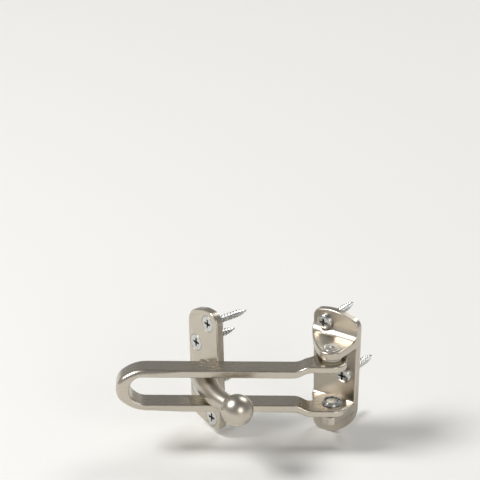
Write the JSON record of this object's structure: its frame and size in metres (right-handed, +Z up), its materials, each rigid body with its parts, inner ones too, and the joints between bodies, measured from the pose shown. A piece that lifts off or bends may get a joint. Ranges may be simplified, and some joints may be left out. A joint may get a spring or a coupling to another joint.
{
  "type": "swing bar door guard",
  "caption": "Swing bar door guard: a slotted bar hinged on a wall bracket's lugs, and a strike plate whose curved horn ends in a ball that slides along the bar's slot.",
  "frame": {"origin": "middle of the hinge bracket's back face, on the wall", "axes": "+Z up, +Y into the wall, -Y out into the room, -X towards the strike"},
  "size_m": [0.0998, 0.1055, 0.0687],
  "materials": {
    "satin_nickel": "satin nickel plate on a zinc casting or steel forging",
    "plated_steel": "bright plated steel",
    "nylon": "natural nylon"
  },
  "bodies": {
    "bracket": {"hinge_bracket": "satin_nickel", "upper_pivot_pin": "plated_steel", "lower_pivot_pin": "plated_steel", "upper_washer": "nylon", "lower_washer": "nylon", "upper_lock_ring": "plated_steel", "lower_lock_ring": "plated_steel", "bracket_screw_top": "plated_steel", "bracket_screw_middle": "plated_steel", "bracket_screw_bottom": "plated_steel"},
    "bar": {"swing_bar": "satin_nickel"},
    "strike": {"strike_plate": "satin_nickel", "strike_screw_top": "plated_steel", "strike_screw_upper": "plated_steel", "strike_screw_lower": "plated_steel", "strike_screw_bottom": "plated_steel"}
  },
  "joints": [
    {"name": "bar_swing", "type": "hinge", "parent": "bracket", "child": "bar", "pos_m": [0.00625, -0.017, 0], "axis": [0, 0, 1], "range_deg": [-27, 19.5]},
    {"name": "door_swing", "type": "hinge", "parent": "bracket", "child": "strike", "pos_m": [-0.15675, 0, 0], "axis": [0, 0, -1], "range_deg": [-18, 13]}
  ],
  "couplings": [
    {"joint": "door_swing", "follows": "bar_swing", "ratio": 0.6666}
  ]
}
